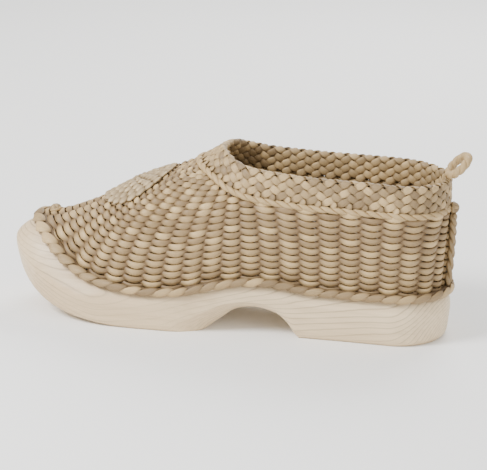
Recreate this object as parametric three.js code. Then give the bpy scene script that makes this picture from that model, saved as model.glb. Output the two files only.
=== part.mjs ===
// A right-foot willow clog: a woven willow upper on a carved wooden sole.
// Millimetres. X runs from the toe (-) to the heel (+), the inner side of the foot is -Y, +Z is up.
import * as THREE from "three";
import { mergeVertices } from "three/addons/utils/BufferGeometryUtils.js";

// Driving sizes of the sole
const SOLE_LENGTH = 278;
const BALL_WIDTH = 104;
const RIM_HEIGHT = 30; // top edge of the wood above the floor at the heel
const ARCH_RISE = 17;
const TOE_SPRING = 18.5;
const HEEL_ROUND = 34; // length over which the outline rounds off at the heel
const TOE_ROUND = 62; // and at the toe
const HEEL_LIP = 4.5; // wood showing outside the woven wall
const SIDE_LIP = 5;
const TOE_LIP = 20;
const DISH_DEPTH = 4.5; // footbed below the rim at the heel
const LEDGE = 1.5; // flat left inside the woven wall before the footbed drops
const EDGE_DROP = 0.75; // share of the footbed's depth that its steep edge takes

// Driving sizes of the upper and its mouth
const WALL = 3.2;
const WALL_HEIGHT = 79.8; // top of the woven wall above the floor at the heel
const THROAT_HEIGHT = 99.5;
const MOUTH_LENGTH = 160;
const MOUTH_WIDTH = 70;
const MOUTH_HEEL_ROUND = 32;
const MOUTH_THROAT_ROUND = 38;
const HEEL_INSET = 4; // back of the mouth in from the back of the sole
const THROAT_LEAN = 58; // degrees that the collar lies back over the instep
const BELLY = 1.5; // how far the side walls swell outward
const SWEEP = 75; // degrees of arc that a side wall turns through
const STAKES = 48;
const WALL_ROWS = 15;
const WEAVE_RELIEF = 0.8;

// Driving sizes of the trim
const BAND_HEIGHT = 16;
const BAND_THICK = 4;
const BAND_ROWS = 5;
const BAND_RELIEF = 0.5;
const BAND_PROUD = 0.6; // collar in front of the woven wall
const CORD_RADIUS = 2.2;
const BORDER_RADIUS = 2.8;
const BORDER_TOE_FROM = 0.8; // share of the length where it starts to widen towards the toe
const BORDER_TOE_WIDTH = 1.6; // half width at the toe's tip, as a share of the border's radius
const BORDER_TOE_DEPTH = 0.75; // half depth there, as a share of the border's radius
const BORDER_LEAVES = 48;
const LOOP_LENGTH_RADIUS = 8;
const LOOP_WIDTH_RADIUS = 6.6;
const LOOP_CORD_RADIUS = 2.8;
const LOOP_TILT = 45; // degrees back from upright
const LOOP_TURN = 18; // degrees that the ring is turned towards the inner side
const KNOT_RADIUS = 4;
const KNOT_DEPTH_RADIUS = 2.6;
const TOE_KNOT_RADIUS = 4;
const TOE_KNOT_DEPTH_RADIUS = 2.4;
const TOE_KNOT_UP = 0.17; // share of the way up the wall
const SEAM_RADIUS = 4.2;
const SEAM_DEPTH_RADIUS = 2;
const SEAM_LOW = 0.12; // share of the way up the wall where the braid starts
const SEAM_HIGH = 0.88; // share of the way up the wall where it ends
const SEAM_LUMPS = 7;
const ROSETTE_RADIUS = 24;
const ROSETTE_FROM_TOE = 79;
const ROSETTE_ASIDE = 2.5; // towards the inner side, from the middle of the sole there
const ROSETTE_RISE = 3.5;
const PETAL_RINGS = 4;
const PETALS = 12;
const PETAL_SCALLOP = 0.035; // wave of a ring's edge, as a share of its radius
const ROSETTE_KNOB = 2;
const PETAL_OVERLAP = 0.85; // petal length, as a share of the step between the rings
const PETAL_TIP = 1.2; // height of a petal's tip in its ring, as a share of the ring's lift
const PETAL_FOOT = 0.9; // height of a petal's foot, as a share of the ring's lift
const ROSETTE_EYE = 0.6; // radius left inside the last ring, as a share of the step
const GAP = 0.3; // clearance between neighbouring pieces

// Outline of the sole, seen from above. along: share of the length from the heel;
// centre: middle of the outline off the axis, and half: half width, in ball widths.
const OUTLINE = [
  { along: 0, centre: 0, half: 0.352 },
  { along: 0.15, centre: 0.002, half: 0.356 },
  { along: 0.3, centre: 0.01, half: 0.375 },
  { along: 0.42, centre: 0.02, half: 0.413 },
  { along: 0.55, centre: 0.025, half: 0.47 },
  { along: 0.65, centre: 0.018, half: 0.5 },
  { along: 0.75, centre: 0, half: 0.492 },
  { along: 0.85, centre: -0.03, half: 0.45 },
  { along: 1, centre: -0.085, half: 0.37 },
];

// Top edge of the wood, in rim heights.
const RIM = [
  { along: 0, height: 1 },
  { along: 0.18, height: 1 },
  { along: 0.27, height: 1.01 },
  { along: 0.33, height: 1.04 },
  { along: 0.39, height: 1.1 },
  { along: 0.45, height: 1.13 },
  { along: 0.53, height: 1.065 },
  { along: 0.58, height: 0.965 },
  { along: 0.64, height: 0.85 },
  { along: 0.7, height: 0.81 },
  { along: 0.8, height: 0.87 },
  { along: 0.85, height: 0.965 },
  { along: 0.9, height: 1.185 },
  { along: 0.95, height: 1.535 },
  { along: 0.98, height: 1.78 },
  { along: 1, height: 1.91 },
];

// Underside above the floor: arch in arch rises, spring in toe springs.
const UNDERSIDE = [
  { along: 0, arch: 0, spring: 0 },
  { along: 0.328, arch: 0, spring: 0 },
  { along: 0.35, arch: 0.45, spring: 0 },
  { along: 0.38, arch: 0.84, spring: 0 },
  { along: 0.43, arch: 1, spring: 0 },
  { along: 0.485, arch: 0.84, spring: 0 },
  { along: 0.53, arch: 0.38, spring: 0 },
  { along: 0.575, arch: 0, spring: 0 },
  { along: 0.72, arch: 0, spring: 0 },
  { along: 0.8, arch: 0, spring: 0.04 },
  { along: 0.85, arch: 0, spring: 0.11 },
  { along: 0.9, arch: 0, spring: 0.25 },
  { along: 0.95, arch: 0, spring: 0.53 },
  { along: 1, arch: 0, spring: 1 },
];

// Footbed below the rim, in dish depths.
const DISH = [
  { along: 0, depth: 1 },
  { along: 0.5, depth: 1.2 },
  { along: 0.7, depth: 0.9 },
  { along: 0.85, depth: 1.6 },
  { along: 0.93, depth: 3.4 },
  { along: 1, depth: 5 },
];

// Side of the wood from its underside up to the seat of the upper.
// lip: how far in, in lips; height: between the underside and the rim.
const SOLE_SIDE = [
  { lip: 0.75, height: 0 },
  { lip: 0.3, height: 0.1 },
  { lip: 0.1, height: 0.36 },
  { lip: 0, height: 0.64 },
  { lip: 0.3, height: 0.84 },
  { lip: 1, height: 1 },
];

// Where each stake of the weave ends at the mouth. turn: half turns round the mouth from the heel;
// full: 2 for a round shoulder, 1 for a straight slope; swell: in bellies.
const STAKE_LINES = [
  { along: 0, turn: 0, full: 2, swell: 0.6 },
  { along: 0.058, turn: 0.177, full: 2, swell: 0.9 },
  { along: 0.1, turn: 0.253, full: 2, swell: 1 },
  { along: 0.19, turn: 0.373, full: 2, swell: 1 },
  { along: 0.28, turn: 0.476, full: 2, swell: 1 },
  { along: 0.37, turn: 0.577, full: 2, swell: 1 },
  { along: 0.46, turn: 0.678, full: 2, swell: 0.9 },
  { along: 0.55, turn: 0.745, full: 1.9, swell: 0.6 },
  { along: 0.66, turn: 0.803, full: 1.92, swell: 0.3 },
  { along: 0.79, turn: 0.862, full: 1.8, swell: 0 },
  { along: 0.89, turn: 0.92, full: 1.42, swell: 0 },
  { along: 1, turn: 1, full: 0.9, swell: 0 },
];

// Mouth of the woven wall, by share of its length from the heel. half: in mouth widths;
// rise: from the heel's wall height to the throat's; lean: in throat leans.
const MOUTH = [
  { along: 0, half: 0.49, rise: 0, lean: 0.03 },
  { along: 0.3, half: 0.5, rise: 0.075, lean: 0.05 },
  { along: 0.5, half: 0.5, rise: 0.08, lean: 0.07 },
  { along: 0.62, half: 0.49, rise: 0.12, lean: 0.1 },
  { along: 0.74, half: 0.475, rise: 0.2, lean: 0.17 },
  { along: 0.84, half: 0.465, rise: 0.43, lean: 0.38 },
  { along: 0.92, half: 0.46, rise: 0.76, lean: 0.69 },
  { along: 1, half: 0.455, rise: 1, lean: 1 },
];

const UP = new THREE.Vector3(0, 0, 1);
const SMALL = 1e-4;
const HEEL_BACK = SOLE_LENGTH / 2;

// Smooth value of one column of a table, with no overshoot between its rows.
function read(table, column, along) {
  const last = table.length - 1;
  const x = THREE.MathUtils.clamp(along, table[0].along, table[last].along);
  let k = 0;
  while (k < last - 1 && x > table[k + 1].along) k += 1;
  const rise = (i) => (table[i + 1][column] - table[i][column]) / (table[i + 1].along - table[i].along);
  const slope = (i) => {
    if (i === 0) return rise(0);
    if (i === last) return rise(last - 1);
    const before = rise(i - 1);
    const after = rise(i);
    return before * after <= 0 ? 0 : (2 * before * after) / (before + after);
  };
  const span = table[k + 1].along - table[k].along;
  const t = (x - table[k].along) / span;
  const from = table[k][column];
  const to = table[k + 1][column];
  const ease = t * t * (3 - 2 * t);
  const leave = t * (1 - t) * (1 - t) * slope(k);
  const arrive = t * t * (t - 1) * slope(k + 1);
  return from + (to - from) * ease + span * (leave + arrive);
}

// Width factor of a rounded end, at a distance in from its tip.
function rounded(distance, radius) {
  if (distance >= radius) return 1;
  return Math.sqrt(Math.max(0, 1 - (1 - distance / radius) ** 2));
}

// Point of the outline in plan: side is -1 for the inner side of the foot, +1 for the outer.
// lip moves it in by shares of the lip, inward by millimetres.
function outline(along, side, lip = 0, inward = 0) {
  const heelIn = lip * HEEL_LIP + inward;
  const toeIn = lip * TOE_LIP + inward;
  const ends = rounded(along * SOLE_LENGTH, HEEL_ROUND)
    * rounded((1 - along) * SOLE_LENGTH, TOE_ROUND);
  const half = (read(OUTLINE, "half", along) * BALL_WIDTH - lip * SIDE_LIP - inward) * ends;
  const x = HEEL_BACK - heelIn - along * (SOLE_LENGTH - heelIn - toeIn);
  return new THREE.Vector3(x, read(OUTLINE, "centre", along) * BALL_WIDTH + side * half, 0);
}

const rimHeight = (along) => read(RIM, "height", along) * RIM_HEIGHT;
const underHeight = (along) =>
  read(UNDERSIDE, "arch", along) * ARCH_RISE + read(UNDERSIDE, "spring", along) * TOE_SPRING;

// Shares along the sole at equal steps round the foot of the woven wall, from heel to toe.
const TRACE_STEPS = 400;
const TRACE = [{ along: 0, length: 0 }];
for (let i = 1; i <= TRACE_STEPS; i += 1) {
  const along = (1 - Math.cos((Math.PI * i) / TRACE_STEPS)) / 2;
  const before = TRACE[i - 1];
  const step = (side) => outline(along, side, 1).distanceTo(outline(before.along, side, 1));
  TRACE.push({ along, length: before.length + (step(-1) + step(1)) / 2 });
}
const HALF_ROUND = TRACE[TRACE_STEPS].length;

// Round the shoe: 0 at the heel, 0.5 at the toe by the inner side, back to 1 by the outer side.
function station(round) {
  const turn = round - Math.floor(round);
  const side = turn <= 0.5 ? -1 : 1;
  const target = 2 * Math.min(turn, 1 - turn) * HALF_ROUND;
  let k = 1;
  while (k < TRACE_STEPS && TRACE[k].length < target) k += 1;
  const share = (target - TRACE[k - 1].length) / (TRACE[k].length - TRACE[k - 1].length);
  return { along: THREE.MathUtils.lerp(TRACE[k - 1].along, TRACE[k].along, share), side };
}

// Mouth of the wall at a half turn from the heel, with the collar's own directions there.
function mouthPoint(turn, side) {
  const along = (1 - Math.cos(Math.PI * turn)) / 2;
  const ends = rounded(along * MOUTH_LENGTH, MOUTH_HEEL_ROUND)
    * rounded((1 - along) * MOUTH_LENGTH, MOUTH_THROAT_ROUND);
  return new THREE.Vector3(
    HEEL_BACK - HEEL_INSET - along * MOUTH_LENGTH,
    side * read(MOUTH, "half", along) * MOUTH_WIDTH * ends,
    WALL_HEIGHT + read(MOUTH, "rise", along) * (THROAT_HEIGHT - WALL_HEIGHT),
  );
}

// One point of the woven wall's outer face: round the shoe, and up a stake from 0 to 1.
function wallPoint(round, up) {
  const { along, side } = station(round);
  const foot = outline(along, side, 1);
  foot.z = rimHeight(along) + GAP;
  const top = mouthPoint(read(STAKE_LINES, "turn", along), side);
  const power = 2 / read(STAKE_LINES, "full", along);
  const sweep = THREE.MathUtils.degToRad(SWEEP);
  const bend = sweep * up;
  const inward = (1 - Math.cos(bend) ** power) / (1 - Math.cos(sweep) ** power);
  const rise = (Math.sin(bend) / Math.sin(sweep)) ** power;
  const ends = rounded(along * SOLE_LENGTH, HEEL_ROUND);
  const swell = read(STAKE_LINES, "swell", along) * BELLY * Math.sin(Math.PI * up);
  return new THREE.Vector3(
    THREE.MathUtils.lerp(foot.x, top.x, inward) + swell * (1 - ends),
    THREE.MathUtils.lerp(foot.y, top.y, inward) + side * swell * ends,
    THREE.MathUtils.lerp(foot.z, top.z, rise),
  );
}

// Outward direction of the wall at a point, from its neighbours.
function wallNormal(round, up) {
  const reach = 0.004;
  const low = Math.max(0, up - reach);
  const high = Math.min(1, up + reach);
  const across = wallPoint(round + reach, up).sub(wallPoint(round - reach, up));
  const climb = wallPoint(round, high).sub(wallPoint(round, low));
  return climb.cross(across).normalize();
}

const wallOffset = (round, up, out) =>
  wallPoint(round, up).addScaledVector(wallNormal(round, up), out);

// The collar's centre line frame: a point of the mouth, its outward and its upward direction.
function collarFrame(round) {
  const reach = 0.003;
  const at = (r) => {
    const { along, side } = station(r);
    return mouthPoint(read(STAKE_LINES, "turn", along), side);
  };
  const point = at(round);
  const onward = at(round + reach).sub(at(round - reach)).setZ(0).normalize();
  const level = UP.clone().cross(onward);
  const along = (HEEL_BACK - HEEL_INSET - point.x) / MOUTH_LENGTH;
  const lean = THREE.MathUtils.degToRad(read(MOUTH, "lean", along) * THROAT_LEAN);
  const up = UP.clone().multiplyScalar(Math.cos(lean)).addScaledVector(level, -Math.sin(lean));
  const out = level.multiplyScalar(Math.cos(lean)).addScaledVector(UP, Math.sin(lean));
  return { point, out, up };
}

// Steps round the mouth at equal distances, so that the plait keeps its pitch.
const MOUTH_TRACE = [0];
for (let i = 1; i <= TRACE_STEPS; i += 1) {
  const step = collarFrame(i / TRACE_STEPS).point.distanceTo(collarFrame((i - 1) / TRACE_STEPS).point);
  MOUTH_TRACE.push(MOUTH_TRACE[i - 1] + step);
}
function mouthRound(share) {
  const target = share * MOUTH_TRACE[TRACE_STEPS];
  let k = 1;
  while (k < TRACE_STEPS && MOUTH_TRACE[k] < target) k += 1;
  const part = (target - MOUTH_TRACE[k - 1]) / (MOUTH_TRACE[k] - MOUTH_TRACE[k - 1]);
  return (k - 1 + part) / TRACE_STEPS;
}

// A closed body from rings of points: joined, the last ring meets the first;
// otherwise both end rings are capped.
function body(rings, { joined = false } = {}) {
  const corners = [];
  const flat = (a, b, c) => a.distanceTo(b) < SMALL || b.distanceTo(c) < SMALL || c.distanceTo(a) < SMALL;
  const face = (a, b, c) => {
    if (!flat(a, b, c)) corners.push(a, b, c);
  };
  const ringCount = joined ? rings.length : rings.length - 1;
  for (let i = 0; i < ringCount; i += 1) {
    const here = rings[i];
    const next = rings[(i + 1) % rings.length];
    for (let j = 0; j < here.length; j += 1) {
      const k = (j + 1) % here.length;
      face(here[j], here[k], next[k]);
      face(here[j], next[k], next[j]);
    }
  }
  const cap = (ring, flip) => {
    const middle = ring.reduce((sum, p) => sum.add(p), new THREE.Vector3()).divideScalar(ring.length);
    ring.forEach((p, j) => {
      const next = ring[(j + 1) % ring.length];
      if (flip) face(middle, next, p);
      else face(middle, p, next);
    });
  };
  if (!joined) {
    cap(rings[0], true);
    cap(rings[rings.length - 1], false);
  }
  return facesOut(corners);
}

// Geometry with merged corners whose faces point out.
function facesOut(corners) {
  let volume = 0;
  for (let i = 0; i < corners.length; i += 3) {
    volume += corners[i].clone().cross(corners[i + 1]).dot(corners[i + 2]);
  }
  const ordered = volume > 0 ? corners : corners.slice().reverse();
  const geometry = new THREE.BufferGeometry().setFromPoints(ordered);
  return mergeVertices(geometry, SMALL);
}

const rounds = (count) => Array.from({ length: count }, (_, i) => i / count);

// Carved wooden sole: side rings from the underside to the seat, then the dished footbed.
function makeSole() {
  const places = rounds(2 * STAKES).map((round) => station(round));
  const ring = (lip, inward, height) =>
    places.map(({ along, side }) => outline(along, side, lip, inward).setZ(height(along)));
  const side = SOLE_SIDE.map((row) => ring(row.lip, 0, (along) =>
    THREE.MathUtils.lerp(underHeight(along), rimHeight(along), row.height)));
  const bedHeight = (along) => rimHeight(along) - read(DISH, "depth", along) * DISH_DEPTH;
  const ledge = ring(1, WALL + LEDGE, rimHeight);
  const drop = ring(1, WALL + 3 * LEDGE, (along) =>
    THREE.MathUtils.lerp(rimHeight(along), bedHeight(along), EDGE_DROP));
  const count = places.length;
  const across = (edge, share, low) => edge.map((p, i) => {
    const middle = p.clone().lerp(edge[(count - i) % count], 0.5).setZ(low(places[i].along));
    return p.clone().lerp(middle, share);
  });
  const bed = [0.5, 1].map((share) => across(drop, share, bedHeight));
  const under = across(side[0], 1, underHeight);
  return body([under, ...side, ledge, drop, ...bed]);
}

// Hollow woven wall: each row passes in front of one stake and behind the next.
function makeUpper() {
  const columns = 2 * STAKES;
  const inside = [1, 0.75, 0.5, 0.25];
  const rings = rounds(columns).map((round, i) => {
    const section = [];
    for (let row = 0; row <= WALL_ROWS; row += 1) {
      const edge = row === 0 || row === WALL_ROWS;
      const passes = i % 2 === 0 && !edge ? 1 : 0;
      const front = (i / 2 + row) % 2 === 0 ? 1 : -1;
      section.push(wallOffset(round, row / WALL_ROWS, passes * front * WEAVE_RELIEF));
    }
    inside.forEach((up) => section.push(wallOffset(round, up, -WALL)));
    const { along, side } = station(round);
    section.push(outline(along, side, 1, WALL).setZ(section[0].z));
    return section;
  });
  return body(rings, { joined: true });
}

// Point beside the mouth, in the collar's own directions.
function collarPoint(round, out, up) {
  const frame = collarFrame(round);
  return frame.point.addScaledVector(frame.out, out).addScaledVector(frame.up, up);
}

const BAND_FOOT = 2 * CORD_RADIUS + 2 * GAP;

// Plaited collar band, its crossing strips raised in a chequer.
function makeCollar() {
  const rings = rounds(2 * STAKES).map((share, i) => {
    const round = mouthRound(share);
    const section = [];
    for (let row = 0; row <= BAND_ROWS; row += 1) {
      const edge = row === 0 || row === BAND_ROWS;
      const front = (i + row) % 2 === 0 ? 1 : -1;
      const out = BAND_PROUD + (edge ? -BAND_RELIEF : front * BAND_RELIEF);
      section.push(collarPoint(round, out, BAND_FOOT + (BAND_HEIGHT * row) / BAND_ROWS));
    }
    section.push(collarPoint(round, BAND_PROUD - BAND_THICK, BAND_FOOT + BAND_HEIGHT));
    section.push(collarPoint(round, BAND_PROUD - BAND_THICK, BAND_FOOT));
    return section;
  });
  return body(rings, { joined: true });
}

// A twisted cord round a closed path. frame(share) gives its point and two directions across it.
function twistedRing({ frame, steps, sides, radius, depth = radius, turns, twist }) {
  const rings = rounds(steps).map((share) => {
    const { point, out, up } = frame(share);
    return rounds(sides).map((part) => {
      const angle = 2 * Math.PI * part;
      const swell = 1 + twist * Math.cos(2 * angle + 2 * Math.PI * turns * share);
      return point.clone()
        .addScaledVector(out, Math.cos(angle) * depth * swell)
        .addScaledVector(up, Math.sin(angle) * radius * swell);
    });
  });
  return body(rings, { joined: true });
}

const CORD_TWIST = 0.12;

function makeCollarCord() {
  return twistedRing({
    frame: (share) => {
      const { point, out, up } = collarFrame(mouthRound(share));
      point.addScaledVector(up, CORD_RADIUS + GAP).addScaledVector(out, -GAP);
      return { point, out, up };
    },
    steps: 2 * STAKES,
    sides: 5,
    radius: CORD_RADIUS / (1 + CORD_TWIST),
    turns: STAKES / 2,
    twist: CORD_TWIST,
  });
}

// Section of the border: it rests on the shoulder of the wood beside the foot of the wall, and lies
// broader and flatter at the toe.
const SHOULDER = SOLE_SIDE[SOLE_SIDE.length - 2];
function borderSection(round) {
  const { along, side } = station(round);
  const edge = outline(along, side, 1).setZ(rimHeight(along));
  const shoulder = outline(along, side, SHOULDER.lip)
    .setZ(THREE.MathUtils.lerp(underHeight(along), rimHeight(along), SHOULDER.height));
  const reach = 0.003;
  const footAt = (r) => {
    const place = station(r);
    return outline(place.along, place.side, 1);
  };
  const level = UP.clone().cross(footAt(round + reach).sub(footAt(round - reach)).normalize());
  const run = shoulder.clone().sub(edge).dot(level);
  const drop = edge.z - shoulder.z;
  const slope = Math.hypot(run, drop);
  const toe = THREE.MathUtils.smoothstep(along, BORDER_TOE_FROM, 1);
  const broad = BORDER_RADIUS * THREE.MathUtils.lerp(1, BORDER_TOE_WIDTH, toe);
  const deep = BORDER_RADIUS * THREE.MathUtils.lerp(1, BORDER_TOE_DEPTH, toe);
  const out = Math.hypot(broad * run, deep * drop) / slope + WEAVE_RELIEF + 2 * GAP;
  const rise = ((deep + 2 * GAP) * slope - out * drop) / run;
  const centre = edge.clone().addScaledVector(level, out);
  centre.z += Math.max(rise, -GAP);
  const down = level.clone().multiplyScalar(run / slope).addScaledVector(UP, -drop / slope);
  const away = level.multiplyScalar(drop / slope).addScaledVector(UP, run / slope);
  return { centre, down, away, broad, deep };
}

// Border of slanted leaves laid end over end round the foot of the wall.
function makeBorder() {
  const leafSize = [0.78, 1, 0.92];
  const sides = 5;
  const rings = rounds(leafSize.length * BORDER_LEAVES).map((round, i) => {
    const { centre, down, away, broad, deep } = borderSection(round);
    const size = leafSize[i % leafSize.length];
    return rounds(sides).map((part) => {
      const angle = 2 * Math.PI * part;
      return centre.clone()
        .addScaledVector(down, Math.cos(angle) * broad * size)
        .addScaledVector(away, Math.sin(angle) * deep * size);
    });
  });
  return body(rings, { joined: true });
}

// Braid down the back of the heel, in lumps, from the collar cord to the border.
function makeHeelSeam() {
  const steps = 3 * SEAM_LUMPS;
  const sides = 8;
  const waist = 0.75;
  const out = SEAM_DEPTH_RADIUS + WEAVE_RELIEF + GAP;
  const rings = [];
  for (let i = 0; i <= steps; i += 1) {
    const fat = i % 3 === 0 ? waist : 1;
    const middle = wallOffset(0, THREE.MathUtils.lerp(SEAM_LOW, SEAM_HIGH, i / steps), out);
    rings.push(rounds(sides).map((part) => {
      const angle = 2 * Math.PI * part;
      const shift = new THREE.Vector3(Math.cos(angle) * SEAM_DEPTH_RADIUS * fat,
        Math.sin(angle) * SEAM_RADIUS * fat, 0);
      return middle.clone().add(shift);
    }));
  }
  return body(rings);
}

// A knot: a lumpy ball whose flat back lies against what it ties.
function makeKnot(centre, out, depth, radius) {
  const ball = new THREE.SphereGeometry(1, 12, 8);
  ball.deleteAttribute("normal");
  ball.deleteAttribute("uv");
  const lumps = 3;
  const swell = 0.1;
  const place = ball.attributes.position;
  const turn = new THREE.Quaternion().setFromUnitVectors(UP, out);
  for (let i = 0; i < place.count; i += 1) {
    const p = new THREE.Vector3().fromBufferAttribute(place, i);
    const lump = 1 - swell + swell * Math.cos(lumps * Math.atan2(p.y, p.x)) * (1 - p.z * p.z);
    p.multiply(new THREE.Vector3(radius * lump, radius * lump, depth)).applyQuaternion(turn).add(centre);
    place.setXYZ(i, p.x, p.y, p.z);
  }
  return mergeVertices(ball, SMALL);
}

function makeHeelKnot() {
  const { point, out, up } = collarFrame(0);
  point.addScaledVector(up, CORD_RADIUS + GAP).addScaledVector(out, CORD_RADIUS + GAP + KNOT_DEPTH_RADIUS);
  return makeKnot(point, out, KNOT_DEPTH_RADIUS, KNOT_RADIUS);
}

function makeToeKnot() {
  const out = wallNormal(0.5, TOE_KNOT_UP);
  const centre = wallOffset(0.5, TOE_KNOT_UP, TOE_KNOT_DEPTH_RADIUS + WEAVE_RELIEF + GAP);
  return makeKnot(centre, out, TOE_KNOT_DEPTH_RADIUS, TOE_KNOT_RADIUS);
}

// Pull loop: a ring of twisted willow that stands on the back of the collar.
function makeHeelLoop() {
  const tilt = THREE.MathUtils.degToRad(LOOP_TILT);
  const rising = new THREE.Vector3(Math.sin(tilt), 0, Math.cos(tilt));
  const turn = THREE.MathUtils.degToRad(LOOP_TURN);
  const sideways = new THREE.Vector3(0, 1, 0).applyAxisAngle(rising, turn);
  const through = rising.clone().cross(sideways);
  const seat = collarPoint(0, BAND_PROUD - BAND_THICK / 2, BAND_FOOT + BAND_HEIGHT);
  const centre = seat.clone()
    .addScaledVector(rising, LOOP_LENGTH_RADIUS)
    .addScaledVector(UP, LOOP_CORD_RADIUS + 3 * GAP);
  return twistedRing({
    frame: (share) => {
      const angle = 2 * Math.PI * share;
      const out = rising.clone().multiplyScalar(Math.cos(angle)).addScaledVector(sideways, Math.sin(angle));
      const point = centre.clone()
        .addScaledVector(rising, LOOP_LENGTH_RADIUS * Math.cos(angle))
        .addScaledVector(sideways, LOOP_WIDTH_RADIUS * Math.sin(angle));
      return { point, out, up: through };
    },
    steps: 30,
    sides: 6,
    radius: LOOP_CORD_RADIUS / (1 + CORD_TWIST),
    turns: 10,
    twist: CORD_TWIST,
  });
}

// The place on the woven wall straight above or below a point of the plan.
function wallAbove(x, y) {
  const reach = 0.002;
  let round = 0.5;
  let up = 0.5;
  for (let i = 0; i < 12; i += 1) {
    const here = wallPoint(round, up);
    const across = wallPoint(round + reach, up).sub(wallPoint(round - reach, up)).divideScalar(2 * reach);
    const climb = wallPoint(round, up + reach).sub(wallPoint(round, up - reach)).divideScalar(2 * reach);
    const turn = across.x * climb.y - across.y * climb.x;
    const dx = x - here.x;
    const dy = y - here.y;
    round += (dx * climb.y - dy * climb.x) / turn;
    up += (across.x * dy - across.y * dx) / turn;
    up = THREE.MathUtils.clamp(up, reach, 1 - reach);
  }
  return { round, up };
}

// Rosette: rings of petals that overlap towards a centre knob, laid over the curve of the vamp.
function makeRosette() {
  const middleX = ROSETTE_FROM_TOE - HEEL_BACK;
  const middleY = read(OUTLINE, "centre", 1 - ROSETTE_FROM_TOE / SOLE_LENGTH) * BALL_WIDTH - ROSETTE_ASIDE;
  const place = wallAbove(middleX, middleY);
  const slope = wallNormal(place.round, place.up);
  const shorten = slope.z;
  const segments = 3 * PETALS;
  const over = (radius, angle, out) => {
    const x = middleX + Math.cos(angle) * radius * shorten;
    const y = middleY + Math.sin(angle) * radius;
    const spot = wallAbove(x, y);
    return wallOffset(spot.round, spot.up, out);
  };
  const seat = WEAVE_RELIEF + 3 * GAP;
  const ring = (radius, rise, scallop, shift) => rounds(segments).map((share, j) => {
    const petal = Math.cos(2 * Math.PI * (PETALS * share + shift));
    return over(radius * (1 + scallop * petal), 2 * Math.PI * share, seat + rise);
  });
  const backShares = [0.02, 0.3, 0.55, 0.78, 0.96];
  const rings = backShares.map((share) => ring(ROSETTE_RADIUS * share, 0, 0, 0));
  const step = ROSETTE_RADIUS / (PETAL_RINGS + ROSETTE_EYE);
  const lift = ROSETTE_RISE / (PETAL_RINGS + 1);
  for (let k = 0; k < PETAL_RINGS; k += 1) {
    const shift = (k % 2) / 2;
    const inner = ROSETTE_RADIUS - step * (k + PETAL_OVERLAP);
    rings.push(ring(ROSETTE_RADIUS - step * k, lift * (k + PETAL_TIP), PETAL_SCALLOP, shift));
    rings.push(ring(inner, lift * (k + PETAL_FOOT), 0, shift));
  }
  rings.push(ring(ROSETTE_KNOB, ROSETTE_RISE, 0, 0));
  return body(rings);
}

const WOOD = { color: 0xdcc49a, roughness: 0.5 };
const WEAVE = { color: 0xc9b183, roughness: 0.62 };
const BRAID = { color: 0xbba273, roughness: 0.65 };
const PETAL = { color: 0xd2bc90, roughness: 0.6 };

function piece(name, geometry, look) {
  const mesh = new THREE.Mesh(geometry, new THREE.MeshStandardMaterial({ ...look, metalness: 0 }));
  mesh.name = name;
  return mesh;
}

const clog = new THREE.Group();
clog.add(
  piece("sole", makeSole(), WOOD),
  piece("upper", makeUpper(), WEAVE),
  piece("sole_border", makeBorder(), BRAID),
  piece("collar", makeCollar(), BRAID),
  piece("collar_cord", makeCollarCord(), BRAID),
  piece("heel_seam", makeHeelSeam(), BRAID),
  piece("heel_knot", makeHeelKnot(), BRAID),
  piece("heel_loop", makeHeelLoop(), BRAID),
  piece("rosette", makeRosette(), PETAL),
  piece("toe_knot", makeToeKnot(), BRAID),
);

// The origin is the middle of the whole shoe's box, on the floor.
const box = new THREE.Box3().setFromObject(clog, true);
const middle = box.getCenter(new THREE.Vector3());
clog.position.set(-middle.x, -middle.y, -box.min.z);

export default clog;
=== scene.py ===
import math

import bmesh
import bpy
import numpy as np
from mathutils import Matrix, Vector


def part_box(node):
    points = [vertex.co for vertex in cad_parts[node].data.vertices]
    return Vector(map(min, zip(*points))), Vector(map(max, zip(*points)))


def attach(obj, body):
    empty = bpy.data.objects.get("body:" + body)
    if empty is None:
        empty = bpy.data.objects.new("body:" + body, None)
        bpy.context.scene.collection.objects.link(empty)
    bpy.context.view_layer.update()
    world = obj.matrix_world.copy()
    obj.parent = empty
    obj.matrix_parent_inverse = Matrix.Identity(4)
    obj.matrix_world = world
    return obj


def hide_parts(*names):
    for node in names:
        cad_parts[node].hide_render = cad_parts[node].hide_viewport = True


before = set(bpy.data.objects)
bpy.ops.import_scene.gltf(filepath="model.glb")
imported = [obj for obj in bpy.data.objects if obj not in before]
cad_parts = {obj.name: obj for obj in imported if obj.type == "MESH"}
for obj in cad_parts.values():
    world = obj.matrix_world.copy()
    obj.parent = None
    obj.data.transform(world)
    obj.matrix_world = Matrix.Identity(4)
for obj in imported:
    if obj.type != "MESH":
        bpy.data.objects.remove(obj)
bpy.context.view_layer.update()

# Sole. One piece of pale wood, carved with a low heel, an arch and a toe that sweeps up into
# a broad smooth lip. Its dished top is the footbed. All sizes below are in millimetres, with X
# from the toe (-) to the heel (+) and Y across from the inner side of the foot (-).

METRE = 1000
sole_low, sole_high = (np.array(corner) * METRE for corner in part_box("sole"))
loop_low, loop_high = (np.array(corner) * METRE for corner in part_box("heel_loop"))
SOLE_LENGTH = sole_high[0] - sole_low[0]
HEEL_BACK = sole_high[0]
AXIS_Y = (loop_low[1] + loop_high[1]) / 2
BALL_WIDTH = 0.374 * SOLE_LENGTH
RIM_HEIGHT = 30
ARCH_RISE = 17
TOE_SPRING = 18.5
HEEL_ROUND = 34
TOE_ROUND = 62
HEEL_LIP = 4.5
SIDE_LIP = 5
TOE_LIP = 20
WALL = 3.2
LEDGE = 1.5
DISH_DEPTH = 4.5

# Edge of the footbed: ledges in from the wall, and the share of the dish's depth reached there.
LEDGE_STEPS = ((1, 0.0), (1.6, 0.12), (2.2, 0.42), (3, 0.75))

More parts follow.
